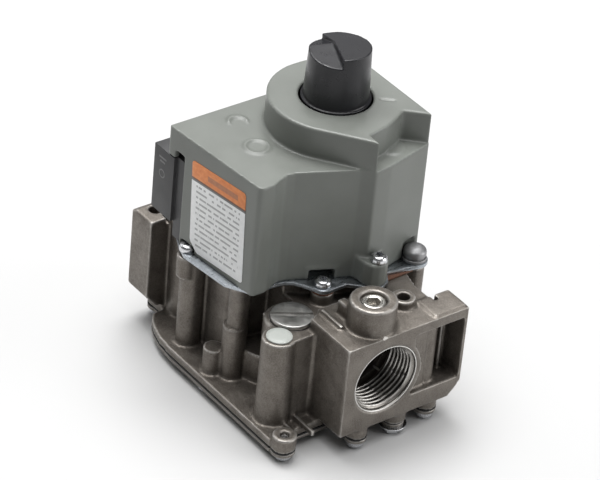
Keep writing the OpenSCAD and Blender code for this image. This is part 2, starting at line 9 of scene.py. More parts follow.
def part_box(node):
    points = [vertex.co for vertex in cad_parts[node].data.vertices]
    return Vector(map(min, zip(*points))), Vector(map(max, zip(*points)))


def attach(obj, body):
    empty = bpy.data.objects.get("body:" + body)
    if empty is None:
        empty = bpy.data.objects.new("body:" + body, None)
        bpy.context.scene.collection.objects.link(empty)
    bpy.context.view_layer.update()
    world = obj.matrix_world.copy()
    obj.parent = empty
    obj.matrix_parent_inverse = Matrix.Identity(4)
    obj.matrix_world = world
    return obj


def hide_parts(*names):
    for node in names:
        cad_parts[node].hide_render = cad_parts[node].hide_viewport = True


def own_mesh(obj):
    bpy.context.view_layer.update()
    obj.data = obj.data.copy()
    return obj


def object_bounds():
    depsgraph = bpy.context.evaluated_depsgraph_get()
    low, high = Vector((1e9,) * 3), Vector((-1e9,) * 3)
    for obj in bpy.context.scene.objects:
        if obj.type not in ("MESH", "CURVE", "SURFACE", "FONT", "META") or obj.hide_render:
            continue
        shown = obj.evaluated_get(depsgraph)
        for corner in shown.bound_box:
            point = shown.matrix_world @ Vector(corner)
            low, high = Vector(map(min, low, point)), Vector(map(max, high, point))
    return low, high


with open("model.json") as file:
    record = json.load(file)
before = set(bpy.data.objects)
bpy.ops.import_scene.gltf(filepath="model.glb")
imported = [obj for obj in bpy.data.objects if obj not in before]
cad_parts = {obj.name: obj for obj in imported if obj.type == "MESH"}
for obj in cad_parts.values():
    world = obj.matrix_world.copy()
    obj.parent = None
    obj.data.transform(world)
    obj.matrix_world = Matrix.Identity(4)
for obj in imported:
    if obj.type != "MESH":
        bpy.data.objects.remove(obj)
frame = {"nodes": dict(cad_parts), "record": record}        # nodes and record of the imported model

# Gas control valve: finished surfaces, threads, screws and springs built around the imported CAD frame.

CAD_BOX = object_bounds()
MM = 0.001
NODES = frame["nodes"]
SHARP_ANGLE = math.radians(35)
WELD = 0.002 * MM        # vertices of a CAD mesh closer than this are one
ALONG_Z = (0.12, 0.12, 1)    # stretch of a metal's marks


# ---------------------------------------------------------------- places taken from the frame
def middle(node):
    """Centre of a CAD node's box, in metres."""
    low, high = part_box(node)
    return (low + high) / 2


def low_z(node):
    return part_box(node)[0].z


def high_z(node):
    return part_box(node)[1].z


CAP_AXIS = middle("regulator_cap")
VENT_AXIS = middle("vent_plug")
OUTLET_TAP = middle("outlet_tap_plug")
INLET_TAP = middle("inlet_tap_plug")
SINGLE_SCREW = middle("cover_screw")
SLOT_TURN = math.radians(58)
MOUTH_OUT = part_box("valve_body")[1].x
MOUTH_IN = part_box("valve_body")[0].x
PORT_R = 13.3 * MM               # thread root at the mouth
PIPE_PITCH = 25.4 / 14 * MM      # 14 threads to the inch
PIPE_TAPER = 1 / 32              # fall of the radius over the length
CHAMFER = 0.7 * MM
TAP_DEPTH, TAP_LENGTH = 16 * MM, 15 * MM
THREAD_HEIGHT = 1.25 * MM


# ---------------------------------------------------------------- node materials
class Look:
    """A Principled material with a small tree of procedural textures in object space."""

    def __init__(self, name, **sockets):
        self.material = bpy.data.materials.new(name)
        self.material.use_nodes = True
        self.tree = self.material.node_tree
        self.tree.nodes.clear()
        self.out = self.node("ShaderNodeOutputMaterial")
        self.shader = self.node("ShaderNodeBsdfPrincipled")
        self.link(self.shader.outputs[0], self.out.inputs["Surface"])
        for socket, value in sockets.items():
            self.shader.inputs[socket.replace("_", " ")].default_value = value
        self.place = self.node("ShaderNodeTexCoord").outputs["Object"]

    def node(self, kind, **settings):
        made = self.tree.nodes.new(kind)
        for key, value in settings.items():
            setattr(made, key, value)
        return made

    def link(self, a, b):
        self.tree.links.new(a, b)
        return b

    def stretched(self, scale):
        mapping = self.node("ShaderNodeMapping")
        mapping.inputs["Scale"].default_value = scale
        self.link(self.place, mapping.inputs["Vector"])
        return mapping.outputs["Vector"]

    def noise(self, size, detail=3.0, rough=0.55, stretch=None):
        """Noise whose features are about size metres across, from 0 to 1."""
        made = self.node("ShaderNodeTexNoise")
        made.inputs["Scale"].default_value = 1 / size
        made.inputs["Detail"].default_value = detail
        made.inputs["Roughness"].default_value = rough
        self.link(self.stretched(stretch) if stretch else self.place, made.inputs["Vector"])
        return made.outputs["Fac"]

    def math(self, what, a, b=0.5, c=0.0):
        made = self.node("ShaderNodeMath", operation=what)
        for socket, value in zip(made.inputs, (a, b, c)):
            if isinstance(value, (int, float)):
                socket.default_value = value
            else:
                self.link(value, socket)
        return made.outputs[0]

    def ramp(self, value, low, high, to_low=0.0, to_high=1.0):
        made = self.node("ShaderNodeMapRange", clamp=True)
        for key, number in zip(("From Min", "From Max", "To Min", "To Max"), (low, high, to_low, to_high)):
            made.inputs[key].default_value = number
        self.link(value, made.inputs["Value"])
        return made.outputs["Result"]

    def mix(self, share, a, b, blend="MIX"):
        made = self.node("ShaderNodeMix", data_type="RGBA", blend_type=blend)
        for socket, value in ((made.inputs[0], share), (made.inputs[6], a), (made.inputs[7], b)):
            if isinstance(value, (int, float)):
                socket.default_value = value
            elif isinstance(value, tuple):
                socket.default_value = (*value, 1.0)
            else:
                self.link(value, socket)
        return made.outputs[2]

    def bump(self, height, depth, strength=1.0, before=None):
        made = self.node("ShaderNodeBump")
        made.inputs["Strength"].default_value = strength
        made.inputs["Distance"].default_value = depth
        self.link(height, made.inputs["Height"])
        if before is not None:
            self.link(before, made.inputs["Normal"])
        return made.outputs["Normal"]

    def edges(self, low, high):
        """1 on outer edges, 0 on flats and hollows, from the mesh's own curvature."""
        return self.ramp(self.node("ShaderNodeNewGeometry").outputs["Pointiness"], low, high)

    def hollows(self, distance):
        """0 in tight corners, 1 in the open; the materials use it to paint shade into corners and hollows."""
        made = self.node("ShaderNodeAmbientOcclusion", samples=4)
        made.inputs["Distance"].default_value = distance
        return made.outputs["AO"]

    def finish(self, colour, roughness, normal=None):
        self.link(colour, self.shader.inputs["Base Color"])
        self.link(roughness, self.shader.inputs["Roughness"])
        if normal is not None:
            self.link(normal, self.shader.inputs["Normal"])
        return self.material


def cast_aluminium():
    look = Look("cast_aluminium", Metallic=0.7, Specular_IOR_Level=0.5)
    blotch = look.ramp(look.noise(7 * MM, 4), 0.35, 0.68)
    grain = look.noise(0.55 * MM, 5, 0.65)
    colour = look.mix(blotch, (0.098, 0.083, 0.069), (0.168, 0.149, 0.129))
    colour = look.mix(look.ramp(grain, 0.32, 0.7, 0.0, 0.5), colour, (0.29, 0.27, 0.245))
    # painted shade: the colour darkens towards near-black in corners and crevices, from ambient occlusion within 7
    # mm
    colour = look.mix(look.ramp(look.hollows(7 * MM), 0.15, 0.85, 0.42, 0.0), colour, (0.024, 0.020, 0.017))
    # outer edges lightened: partly rubbed wear, partly a painted highlight
    colour = look.mix(look.ramp(look.edges(0.515, 0.575), 0, 1, 0.0, 0.75), colour, (0.66, 0.64, 0.61))
    rough = look.ramp(look.noise(1.8 * MM, 4), 0.3, 0.7, 0.30, 0.55)
    normal = look.bump(look.noise(3.2 * MM, 3), 0.24 * MM, 0.6)
    normal = look.bump(grain, 0.12 * MM, 0.8, normal)
    return look.finish(colour, rough, normal)


def moulded_plastic(name, low, high, rough, grain=0.32, depth=0.035):
    """Matt moulded plastic: faint flow marks, a fine spark-eroded grain, edges lightened partly as wear and partly
    as a painted highlight, and painted shade in corners.
    """
    look = Look(name, Specular_IOR_Level=0.42)
    flow = look.ramp(look.noise(16 * MM, 3), 0.3, 0.7)
    fine = look.noise(grain * MM, 3, 0.6)
    colour = look.mix(flow, low, high)
    sparks = tuple(min(1, c * 1.35 + 0.01) for c in high)
    # lighter edge colour: partly rubbed wear, partly a painted highlight
    worn_and_lit = tuple(min(1, c * 1.7) for c in high)
    # painted shade colour for corners and hollows
    painted_shade = tuple(c * 0.35 for c in low)
    colour = look.mix(look.ramp(fine, 0.35, 0.7, 0.0, 0.10), colour, sparks)
    # edges lightened: partly wear, partly a painted highlight
    colour = look.mix(look.ramp(look.edges(0.51, 0.57), 0, 1, 0, 0.30), colour, worn_and_lit)
    # painted shade: darker in corners and hollows, from ambient occlusion within 3 mm
    colour = look.mix(look.ramp(look.hollows(3 * MM), 0.3, 0.9, 0.35, 0.0), colour, painted_shade)
    roughness = look.ramp(look.noise(4 * MM, 3), 0.3, 0.7, rough - 0.05, rough + 0.07)
    return look.finish(colour, roughness, look.bump(fine, depth * MM, 0.7))


def bright_metal(name, low, high, rough, stretch=(1, 1, 1), grain=0.4, depth=0.012, anisotropic=0.0):
    """Plated or turned metal: faint stains and brushing along the stretch."""
    look = Look(name, Metallic=1.0, Anisotropic=anisotropic)
    stain = look.ramp(look.noise(3.5 * MM, 4), 0.32, 0.7)
    marks = look.noise(grain * MM, 4, 0.6, stretch)
    colour = look.mix(stain, low, high)
    # painted shade: the colour darkens in corners and recesses, from ambient occlusion within 1.5 mm
    painted_shade = tuple(c * 0.3 for c in low)
    colour = look.mix(look.ramp(look.hollows(1.5 * MM), 0.2, 0.9, 0.55, 0.0), colour, painted_shade)
    roughness = look.ramp(marks, 0.3, 0.72, max(0.05, rough - 0.08), rough + 0.12)
    return look.finish(colour, roughness, look.bump(marks, depth * MM, 0.6))


def soft_sheet(name, low, high, rough, grain, depth):
    """Rubber or pressed fibre, with a mottled fine texture."""
    look = Look(name, Specular_IOR_Level=0.3)
    specks = look.noise(grain * MM, 5, 0.7)
    colour = look.mix(look.ramp(specks, 0.3, 0.7), low, high)
    roughness = look.ramp(look.noise(2 * MM), 0.3, 0.7, rough - 0.06, rough + 0.06)
    return look.finish(colour, roughness, look.bump(specks, depth * MM, 0.8))


def machined_aluminium():
    look = Look("machined_aluminium", Metallic=0.95, Anisotropic=0.3)
    rings = look.noise(0.30 * MM, 3, 0.6, (1.0, 0.12, 0.12))
    colour = look.mix(look.ramp(look.noise(5 * MM, 4), 0.3, 0.7), (0.23, 0.216, 0.197), (0.37, 0.35, 0.325))
    # edges and thread crests lightened: partly turned wear, partly a painted highlight
    colour = look.mix(look.ramp(look.edges(0.50, 0.58), 0, 1, 0.0, 0.8), colour, (0.80, 0.79, 0.76))
    # painted shade: near-black in corners and inside the ports, from ambient occlusion within 6 mm
    colour = look.mix(look.ramp(look.hollows(6 * MM), 0.15, 0.8, 0.9, 0.0), colour, (0.022, 0.018, 0.015))
    roughness = look.ramp(rings, 0.3, 0.7, 0.24, 0.42)
    return look.finish(colour, roughness, look.bump(rings, 0.02 * MM, 0.6))


def copper_winding():
    look = Look("copper_winding", Metallic=1.0, Coat_Weight=0.5, Coat_Roughness=0.2)
    turns = look.noise(0.35 * MM, 2, 0.5, (0.05, 0.05, 1))
    colour = look.mix(look.ramp(turns, 0.35, 0.65), (0.36, 0.13, 0.05), (0.78, 0.36, 0.17))
    return look.finish(colour, look.ramp(turns, 0.3, 0.7, 0.25, 0.42), look.bump(turns, 0.06 * MM, 0.8))


def printed_label(width, height, band):
    """Printed sheet: a coloured head band over pale paper with rows of plain bars, no lettering."""
    look = Look("printed_label", Specular_IOR_Level=0.5)
    axes = look.node("ShaderNodeSeparateXYZ")
    look.link(look.place, axes.inputs[0])
    across, up = axes.outputs["X"], axes.outputs["Y"]
    paper = look.mix(look.ramp(look.noise(2.5 * MM, 4), 0.3, 0.7), (0.74, 0.75, 0.75), (0.84, 0.85, 0.85))
    orange = look.mix(look.ramp(look.noise(1.6 * MM, 4), 0.3, 0.7), (0.60, 0.17, 0.045), (0.74, 0.27, 0.08))
    ink = (0.10, 0.10, 0.10)
    pitch = 2.2 * MM         # of the rows of bars
    row = look.math("FRACT", look.math("DIVIDE", up, pitch))
    in_row = look.math("MULTIPLY", look.math("GREATER_THAN", row, 0.30), look.math("LESS_THAN", row, 0.66))
    word_place = look.node("ShaderNodeCombineXYZ")
    look.link(look.math("DIVIDE", across, 1.5 * MM), word_place.inputs[0])
    row_number = look.math("FLOOR", look.math("DIVIDE", up, pitch))
    look.link(look.math("MULTIPLY", row_number, 7.31), word_place.inputs[1])
    words = look.node("ShaderNodeTexNoise")
    words.inputs["Scale"].default_value = 1.0
    words.inputs["Detail"].default_value = 1.0
    look.link(word_place.outputs[0], words.inputs["Vector"])
    in_word = look.math("GREATER_THAN", words.outputs["Fac"], 0.44)
    margin = 2.6 * MM
    right_of = look.math("GREATER_THAN", across, margin)
    left_of = look.math("LESS_THAN", across, width - margin)
    inside = look.math("MULTIPLY", right_of, left_of)
    under = look.math("LESS_THAN", up, height - band - 1.2 * MM)
    over = look.math("GREATER_THAN", up, 1.6 * MM)
    field = look.math("MULTIPLY", inside, look.math("MULTIPLY", under, over))
    bars = look.math("MULTIPLY", look.math("MULTIPLY", in_row, in_word), field)
    sheet = look.mix(look.math("MULTIPLY", bars, 0.62), paper, ink)
    head = look.math("GREATER_THAN", up, height - band)
    bar_low = look.math("GREATER_THAN", up, height - band * 0.66)
    bar_high = look.math("LESS_THAN", up, height - band * 0.36)
    bar_left = look.math("GREATER_THAN", across, width * 0.30)
    bar_right = look.math("LESS_THAN", across, width * 0.86)
    bar_rows = look.math("MULTIPLY", bar_low, bar_high)
    bar_span = look.math("MULTIPLY", bar_left, bar_right)
    head_bar = look.math("MULTIPLY", bar_rows, bar_span)
    top = look.mix(look.math("MULTIPLY", head_bar, 0.45), orange, ink)
    line = look.math("MULTIPLY", look.math("LESS_THAN", up, height - band + 0.6 * MM),
                     look.math("GREATER_THAN", up, height - band - 0.75 * MM))
    colour = look.mix(head, sheet, top)
    colour = look.mix(look.math("MULTIPLY", line, 0.85), colour, (0.03, 0.03, 0.03))
    roughness = look.ramp(look.noise(3 * MM), 0.3, 0.7, 0.30, 0.42)
    return look.finish(colour, roughness, look.bump(look.noise(0.8 * MM, 2), 0.01 * MM, 0.5))


LABEL_YAW, LABEL_LEAN = math.radians(5.14), math.radians(2.6)
LABEL_W, LABEL_H, LABEL_BAND = 28.6 * MM, 37 * MM, 7.2 * MM
CAST = cast_aluminium()
MACHINED = machined_aluminium()
COVER = moulded_plastic("cover_plastic", (0.142, 0.150, 0.137), (0.166, 0.176, 0.161), 0.34)
KNOB = moulded_plastic("knob_plastic", (0.009, 0.009, 0.011), (0.016, 0.016, 0.019), 0.30, 0.25, 0.02)
BLACK = moulded_plastic("terminal_plastic", (0.030, 0.030, 0.031), (0.043, 0.043, 0.044), 0.42)
SATIN = bright_metal("satin_steel", (0.27, 0.27, 0.275), (0.38, 0.38, 0.385), 0.50, (1, 1, 0.3), 0.5, 0.02)
WHITE = moulded_plastic("white_nylon", (0.66, 0.65, 0.60), (0.76, 0.75, 0.70), 0.42)
VENT = moulded_plastic("vent_plastic", (0.34, 0.36, 0.335), (0.44, 0.46, 0.435), 0.36)
ZINC = bright_metal("zinc_plate", (0.56, 0.57, 0.59), (0.80, 0.81, 0.83), 0.22)
PLATE = bright_metal("plated_sheet", (0.36, 0.39, 0.42), (0.47, 0.50, 0.53), 0.30, (1, 0.15, 1), 0.6, 0.004)
TURNED = bright_metal("turned_steel", (0.52, 0.50, 0.47), (0.76, 0.74, 0.70), 0.26, ALONG_Z, 0.3, 0.02, 0.3)
CAP_STEEL = bright_metal("cap_steel", (0.46, 0.455, 0.44), (0.66, 0.65, 0.63), 0.38, ALONG_Z, 0.3, 0.02)
SPRING = bright_metal("spring_wire", (0.34, 0.34, 0.35), (0.56, 0.56, 0.57), 0.26, (1, 1, 0.3))
BRASS = bright_metal("terminal_tin", (0.55, 0.52, 0.44), (0.74, 0.71, 0.62), 0.28)
RUBBER = soft_sheet("rubber", (0.014, 0.014, 0.014), (0.034, 0.033, 0.032), 0.62, 0.5, 0.05)
FADED = soft_sheet("faded_print", (0.10, 0.10, 0.10), (0.22, 0.22, 0.22), 0.5, 0.5, 0.01)
GASKET = soft_sheet("fibre_gasket", (0.085, 0.042, 0.028), (0.17, 0.082, 0.052), 0.72, 0.7, 0.10)
COPPER = copper_winding()
LABEL = printed_label(LABEL_W, LABEL_H, LABEL_BAND)


# ---------------------------------------------------------------- mesh tools
def add_object(name, mesh):
    obj = bpy.data.objects.new(name, mesh)
    bpy.context.scene.collection.objects.link(obj)
    return obj


def from_bmesh(name, bm):
    bmesh.ops.recalc_face_normals(bm, faces=bm.faces)
    mesh = bpy.data.meshes.new(name)
    bm.to_mesh(mesh)
    bm.free()
    return add_object(name, mesh)


def bake(obj):
    """Applies the object's modifiers to its mesh."""
    evaluated = obj.evaluated_get(bpy.context.evaluated_depsgraph_get())
    mesh = bpy.data.meshes.new_from_object(evaluated)
    obj.modifiers.clear()
    obj.data = mesh
    return obj


def modify(obj, kind, **settings):
    modifier = obj.modifiers.new(kind.lower(), kind)
    for key, value in settings.items():
        setattr(modifier, key, value)
    return bake(obj)


def combine(obj, other, operation):
    """Boolean of two closed meshes; the second one is used up."""
    modify(obj, "BOOLEAN", object=other, operation=operation, solver="MANIFOLD")
    bpy.data.objects.remove(other)
    return obj


def cut(obj, *others):
    for other in others:
        combine(obj, other, "DIFFERENCE")
    return obj


def shade(obj, angle=SHARP_ANGLE):
    obj.data.polygons.foreach_set("use_smooth", [True] * len(obj.data.polygons))
    obj.data.set_sharp_from_angle(angle=angle)
    return obj


def place_piece(obj, body, slot, material, *replaced):
    """Gives a finished mesh its material and its body and hides the CAD nodes it stands for; the slot is not used.
    """
    obj.data.materials.clear()
    obj.data.materials.append(material)
    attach(obj, body)
    if replaced:
        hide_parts(*replaced)
    return obj


def copy_of(node, name):
    """A welded copy of a CAD node's mesh."""
    bm = bmesh.new()
    bm.from_mesh(NODES[node].data)
    bmesh.ops.remove_doubles(bm, verts=bm.verts, dist=WELD)
    return from_bmesh(name, bm)


def thin_out(obj, most):
    """Brings a dense mesh under a number of triangles."""
    obj.data.calc_loop_triangles()
    count = len(obj.data.loop_triangles)
    if count > most:
        modify(obj, "DECIMATE", ratio=most / count)
    return obj


def softened(node, name, voxel, rounds, most=190_000):
    """A copy of a CAD node whose edges and corners are blended, as on a casting or a moulding."""
    obj = copy_of(node, name)
    modify(obj, "REMESH", mode="VOXEL", voxel_size=voxel)
    modify(obj, "SMOOTH", factor=0.5, iterations=rounds)
    return thin_out(obj, most)


def bevelled(node, name, width, segments=2):
    """A copy of a CAD node with its flat faces whole again and its sharp edges broken."""
    obj = copy_of(node, name)
    bm = bmesh.new()
    bm.from_mesh(obj.data)
    bmesh.ops.dissolve_limit(bm, angle_limit=math.radians(1), verts=bm.verts, edges=bm.edges)
    bm.to_mesh(obj.data)
    bm.free()
    modify(obj, "BEVEL", width=width, segments=segments, limit_method="ANGLE", angle_limit=math.radians(40))
    return shade(obj)


def rounded(points, steps=4):
    """A profile of (radius, height, corner radius) points with its corners rounded, as (radius, height)."""
    made = []
    for i, point in enumerate(points):
        here = Vector(point[:2])
        corner = point[2] if len(point) > 2 else 0
        if corner == 0 or i in (0, len(points) - 1):
            made.append(here)
            continue
        before = Vector(points[i - 1][:2]) - here
        after = Vector(points[i + 1][:2]) - here
        reach = min(corner, before.length * 0.49, after.length * 0.49)
        start = here + before.normalized() * reach
        end = here + after.normalized() * reach
        for k in range(steps + 1):
            t = k / steps
            made.append(start * (1 - t) ** 2 + here * 2 * t * (1 - t) + end * t * t)
    return [(p.x, p.y) for p in made]


def ring_points(radius, segments, height=0):
    """Points evenly spaced on a circle about local Z."""
    turn = [2 * math.pi * k / segments for k in range(segments)]
    return [Vector((radius * math.cos(a), radius * math.sin(a), height)) for a in turn]


def lathe(profile, place=Matrix(), segments=64, into=None):
    """A surface of revolution about local Z. A profile from radius 0 to radius 0 closes on its axis."""
    bm = into or bmesh.new()
    rings = []
    for radius, height in profile:
        if radius < 1e-7:
            rings.append([bm.verts.new(place @ Vector((0, 0, height)))])
            continue
        rings.append([bm.verts.new(place @ point) for point in ring_points(radius, segments, height)])
    closed = len(rings[0]) > 1
    pairs = list(zip(rings, rings[1:])) + ([(rings[-1], rings[0])] if closed else [])
    for a, b in pairs:
        for k in range(segments):
            n = (k + 1) % segments
            corners = [a[k % len(a)], a[n % len(a)], b[n % len(b)], b[k % len(b)]]
            bm.faces.new(list(dict.fromkeys(corners)))
    return bm


def prism(outline, low, high, place=Matrix(), into=None):
    """A closed prism over a flat outline of (x, y) points."""
    bm = into or bmesh.new()
    bottom = [bm.verts.new(place @ Vector((x, y, low))) for x, y in outline]
    top = [bm.verts.new(place @ Vector((x, y, high))) for x, y in outline]
    bm.faces.new(bottom[::-1])
    bm.faces.new(top)
    for k in range(len(outline)):
        n = (k + 1) % len(outline)
        bm.faces.new([bottom[k], bottom[n], top[n], top[k]])
    return bm


def box_prism(x, y, z, place=Matrix(), into=None):
    """A box given by its (low, high) pairs."""
    return prism([(x[0], y[0]), (x[1], y[0]), (x[1], y[1]), (x[0], y[1])], z[0], z[1], place, into)


def lobed(radius, depth, lobes=6, points=72):
    """Outline of a six-lobed driver recess."""
    turn = [2 * math.pi * k / points for k in range(points)]
    reach = [radius + depth * math.cos(lobes * a) for a in turn]
    return [(far * math.cos(a), far * math.sin(a)) for far, a in zip(reach, turn)]


def hexagon(radius):
    turn = [math.radians(60 * k) for k in range(6)]
    return [(radius * math.cos(a), radius * math.sin(a)) for a in turn]


def threaded(low, high, root, crest, pitch, wall, place=Matrix(), taper=0.0, segments=96, rows=8, into=None):
    """A tube with a helical thread from root to crest radius on one side, and a plain wall on the other."""
    bm = into or bmesh.new()
    steps = max(2, round((high - low) / pitch * rows))
    grid = []
    for i in range(steps + 1):
        height = low + (high - low) * i / steps
        fade = min(1, i / rows, (steps - i) / rows)
        ring = []
        for k in range(segments):
            phase = (height / pitch - k / segments) % 1
            wave = min(1, max(0, 1.35 - abs(phase - 0.5) * 3.6)) * fade
            radius = root + (crest - root) * wave - taper * (height - low)
            angle = 2 * math.pi * k / segments
            point = Vector((radius * math.cos(angle), radius * math.sin(angle), height))
            ring.append(bm.verts.new(place @ point))
        grid.append(ring)
    plain = []
    for height in (high, low):
        plain.append([bm.verts.new(place @ point) for point in ring_points(wall, segments, height)])
    loop = grid + plain
    for a, b in zip(loop, loop[1:] + loop[:1]):
        for k in range(segments):
            n = (k + 1) % segments
            bm.faces.new([a[k], a[n], b[n], b[k]])
    return bm


def coil(centre, radius, wire, low, high, turns, sides=10, steps=36):
    """A compression spring with closed ends, as one swept wire."""
    bm = bmesh.new()
    rings = []
    count = turns * steps
    ends = 2 * wire * 1.02
    free = (high - low) - 2 * wire - 2 * ends
    for i in range(count + 1):
        turn = i / steps
        rise = min(turn, 1) * ends + max(0, turn - (turns - 1)) * ends
        rise += free * min(1, max(0, (turn - 1) / (turns - 2)))
        angle = 2 * math.pi * turn
        out = Vector((math.cos(angle), math.sin(angle), 0))
        core = Vector((centre.x, centre.y, low + wire + rise)) + out * radius
        around = [2 * math.pi * k / sides for k in range(sides)]
        section = [core + out * wire * math.cos(a) + Vector((0, 0, wire * math.sin(a))) for a in around]
        rings.append([bm.verts.new(point) for point in section])
    for a, b in zip(rings, rings[1:]):
        for k in range(sides):
            n = (k + 1) % sides
            bm.faces.new([a[k], a[n], b[n], b[k]])
    bm.faces.new(rings[0][::-1])
    bm.faces.new(rings[-1])
    return bm


# ---------------------------------------------------------------- the casting and its ports
def along_x(x, sign):
    """Local Z runs along sign * X from a point on the pipe axis."""
    return Matrix.Translation((x, 0, 0)) @ Matrix.Rotation(sign * math.pi / 2, 4, "Y")


def valve_casting():
    obj = softened("valve_body", "valve_casting", 0.55 * MM, 3)
    for x, sign in ((MOUTH_OUT, 1), (MOUTH_IN, -1)):
        mouth = [(0, -TAP_DEPTH), (PORT_R, -TAP_DEPTH), (PORT_R, -CHAMFER),
                 (PORT_R + CHAMFER + 1.2 * MM, 1.2 * MM), (0, 1.2 * MM)]
        cut(obj, from_bmesh("mouth", lathe(mouth, along_x(x, sign), 96)))
    shade(obj, math.radians(50))
    place_piece(obj, "housing", "cast_body", CAST, "valve_body")


def port_threads():
    for name, x, sign in (("outlet_thread", MOUTH_OUT, 1), ("inlet_thread", MOUTH_IN, -1)):
        turned = along_x(x, sign) @ Matrix.Rotation(math.pi, 4, "X")
        bm = threaded(0.6 * MM, TAP_LENGTH, PORT_R - 0.04 * MM, PORT_R - THREAD_HEIGHT, PIPE_PITCH,
                      PORT_R + 0.3 * MM, turned, PIPE_TAPER)
        obj = shade(from_bmesh(name, bm), math.radians(60))
        place_piece(obj, "housing", "cast_body", MACHINED)


# ---------------------------------------------------------------- cover, knob, terminals
def moulded_cover():
    obj = softened("operator_cover", "moulded_cover", 0.5 * MM, 4, 196_000)
    shade(obj, math.radians(60))
    place_piece(obj, "housing", "cover_plastic", COVER, "operator_cover")


def turn_knob():
    obj = softened("control_knob", "turn_knob", 0.3 * MM, 2)
    shade(obj, math.radians(60))
    place_piece(obj, "knob", "knob_plastic", KNOB, "control_knob")


def terminal_housing():
    obj = bevelled("terminal_block", "terminal_housing", 0.5 * MM, 3)
    place_piece(obj, "housing", "black_plastic", BLACK, "terminal_block")


def terminal_marks():
    """A plain ring and two bars, printed pale on the terminal housing's long side."""
    low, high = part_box("terminal_block")
    on_face = Matrix.Translation((low.x + 5.2 * MM, low.y, 0)) @ Matrix.Rotation(math.pi / 2, 4, "X")
    ring = [(1.3 * MM, -0.05 * MM), (1.8 * MM, -0.05 * MM), (1.8 * MM, 0.04 * MM), (1.3 * MM, 0.04 * MM)]
    bm = lathe(ring, on_face @ Matrix.Translation((0, high.z - 10.5 * MM, 0)), 40)
    for drop, half in ((4.0, 2.2), (5.6, 1.5)):
        rise = high.z - drop * MM
        box_prism((-half * MM, half * MM), (rise - 0.35 * MM, rise + 0.35 * MM),
                  (-0.05 * MM, 0.04 * MM), on_face, bm)
    place_piece(from_bmesh("terminal_marks", bm), "housing", "black_plastic", FADED)


# ---------------------------------------------------------------- screws and plugs
def pan_screw(place, head_r, head_h, shank_r, length, recess_r, into=None):
    """A pan head screw with a six-lobed recess; local Z points out of the head, which seats at 0."""
    profile = rounded([
        (0, -length), (shank_r * 0.7, -length, 0.2 * MM),
        (shank_r, -length + 0.6 * MM, 0.2 * MM), (shank_r, 0), (head_r * 0.98, 0, 0.1 * MM),
        (head_r, 0.5 * MM, 0.3 * MM), (head_r * 0.94, head_h * 0.72, head_h * 0.3),
        (head_r * 0.62, head_h, head_h * 0.3), (0, head_h)])
    head = from_bmesh("head", lathe(profile, segments=48))
    cut(head, from_bmesh("recess", prism(lobed(recess_r, recess_r * 0.16), head_h * 0.38, head_h + MM)))
    head.data.transform(place)
    into.from_mesh(head.data)
    bpy.data.objects.remove(head)


def screw_set(name, node, places, head_r, head_h, shank_r, length, recess_r):
    bm = bmesh.new()
    for place in places:
        pan_screw(place, head_r, head_h, shank_r, length, recess_r, bm)
    obj = shade(from_bmesh(name, bm), math.radians(40))
    place_piece(obj, "housing", "zinc_steel", ZINC, node)


def solid_centres(node):
    """Centres of the separate solids in a CAD node."""
    bm = bmesh.new()
    bm.from_mesh(NODES[node].data)
    bmesh.ops.remove_doubles(bm, verts=bm.verts, dist=WELD)
    left, centres = set(bm.verts), []
    while left:
        todo, group = [left.pop()], []
        while todo:
            vert = todo.pop()
            group.append(vert)
            for edge in vert.link_edges:
                other = edge.other_vert(vert)
                if other in left:
                    left.remove(other)
                    todo.append(other)
        low = Vector([min(v.co[i] for v in group) for i in range(3)])
        high = Vector([max(v.co[i] for v in group) for i in range(3)])
        centres.append((low + high) / 2)
    bm.free()
    return sorted(centres, key=lambda c: (round(c.x, 5), round(c.y, 5)))


def screws():
    """The screw sets; each screw stops at a driver angle of its own, spread by its place."""
    head_h = 2.9 * MM
    under = low_z("bottom_screws") + head_h
    flip = Matrix.Rotation(math.pi, 4, "X")
    places = [Matrix.Translation((c.x, c.y, under)) @ flip @ Matrix.Rotation(c.x * 900, 4, "Z")
              for c in solid_centres("bottom_screws")]
    screw_set("bottom_screw_set", "bottom_screws", places, 3.4 * MM, head_h, 1.7 * MM, 6.6 * MM, 1.35 * MM)
    seat = high_z("operator_plate")
    places = [Matrix.Translation((c.x, c.y, seat)) @ Matrix.Rotation(c.y * 700, 4, "Z")
              for c in solid_centres("plate_screws")]
    screw_set("plate_screw_set", "plate_screws", places, 3.2 * MM, 2.6 * MM, 1.7 * MM, 6.8 * MM, 1.3 * MM)
    place = Matrix.Translation((SINGLE_SCREW.x, SINGLE_SCREW.y, high_z("cover_screw") - 2.7 * MM))
    screw_set("cover_fixing_screw", "cover_screw", [place], 3.1 * MM, 2.7 * MM, 1.5 * MM, 10.8 * MM, 1.3 * MM)


def ground_hex_screw():
    centre = middle("ground_screw")
    seat = low_z("ground_screw") + 2.7 * MM
    place = Matrix.Translation((centre.x, centre.y, seat)) @ Matrix.Rotation(math.pi, 4, "X")
    washer = rounded([(0, -5.9 * MM), (1.9 * MM, -5.9 * MM, 0.2 * MM), (2.1 * MM, -5.2 * MM),
                      (2.1 * MM, 0), (5.2 * MM, 0, 0.1 * MM),
                      (5.3 * MM, 0.5 * MM, 0.3 * MM), (4.2 * MM, 0.9 * MM), (0, 0.9 * MM)])
    obj = from_bmesh("ground_hex_screw", lathe(washer, segments=64))
    head = from_bmesh("hex", prism(hexagon(4.3 * MM), 0.6 * MM, 2.7 * MM))
    crown = rounded([(0, 0.5 * MM), (4.4 * MM, 0.5 * MM), (4.4 * MM, 2.0 * MM),
                     (3.7 * MM, 2.7 * MM), (0, 2.7 * MM)])
    combine(head, from_bmesh("crown", lathe(crown, segments=64)), "INTERSECT")
    combine(obj, head, "UNION")
    cut(obj, from_bmesh("slot", box_prism((-6 * MM, 6 * MM), (-0.55 * MM, 0.55 * MM), (1.7 * MM, 4 * MM))))
    obj.data.transform(place)
    place_piece(shade(obj), "housing", "zinc_steel", ZINC, "ground_screw")


